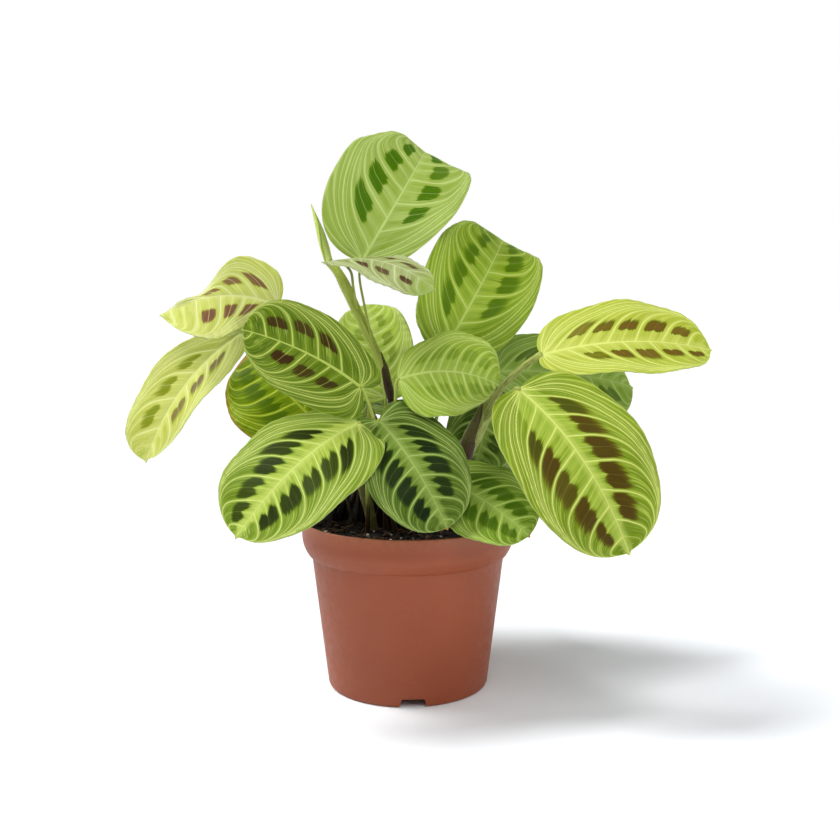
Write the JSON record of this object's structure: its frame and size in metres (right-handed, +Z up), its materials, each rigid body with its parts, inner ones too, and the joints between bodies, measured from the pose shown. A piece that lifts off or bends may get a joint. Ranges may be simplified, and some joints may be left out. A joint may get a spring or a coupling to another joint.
{
  "type": "potted prayer plant",
  "caption": "Bushy foliage plant with broad patterned leaves on thin stems, standing in a filled, tapered nursery pot with a wide rim band.",
  "frame": {"origin": "middle of the pot's foot, on the surface that it stands on", "axes": "+Z up along the pot's axis, -Y towards the viewer of the picture, +X to that viewer's right"},
  "size_m": [0.3106, 0.1962, 0.3153],
  "materials": {
    "pot_plastic": "matte",
    "peat_soil": "matte",
    "stem_green": "satin",
    "stem_sheath": "satin",
    "leaf_pale": "satin",
    "leaf_lime": "satin",
    "leaf_green": "satin",
    "leaf_deep": "satin",
    "leaf_sage": "satin"
  },
  "bodies": {
    "root": {"shoot_tall": "stem_green", "shoot_right": "stem_sheath", "shoot_left": "stem_sheath", "petiole_centre": "stem_green", "petiole_left_mid": "stem_green", "petiole_front_left": "stem_green", "petiole_front_mid": "stem_green", "petiole_right_low": "stem_green", "petiole_upper_right": "stem_green", "petiole_centre_back": "stem_green", "petiole_back_left": "stem_green", "petiole_back_mid": "stem_green", "petiole_back_right": "stem_green", "petiole_back_high": "stem_green", "petiole_back_low_left": "stem_green", "petiole_back_tall": "stem_green", "petiole_back_low_right": "stem_green", "leaf_top": "leaf_pale", "leaf_small_top": "leaf_sage", "leaf_upper_right": "leaf_green", "leaf_centre": "leaf_pale", "leaf_right_high": "leaf_lime", "leaf_right_front": "leaf_lime", "leaf_right_back": "leaf_deep", "leaf_front_left": "leaf_green", "leaf_front_mid": "leaf_deep", "leaf_left_mid": "leaf_deep", "leaf_left_low": "leaf_lime", "leaf_left_high": "leaf_lime", "leaf_left_back": "leaf_green", "leaf_centre_back": "leaf_pale", "leaf_right_low": "leaf_deep", "leaf_right_mid": "leaf_deep", "leaf_back_left": "leaf_green", "leaf_back_mid": "leaf_pale", "leaf_back_right": "leaf_green", "leaf_back_high": "leaf_lime", "leaf_back_low_left": "leaf_deep", "leaf_back_low_right": "leaf_deep", "leaf_back_tall": "leaf_green", "leaf_rolled": "stem_green", "soil": "peat_soil", "pot": "pot_plastic"}
  },
  "joints": []
}
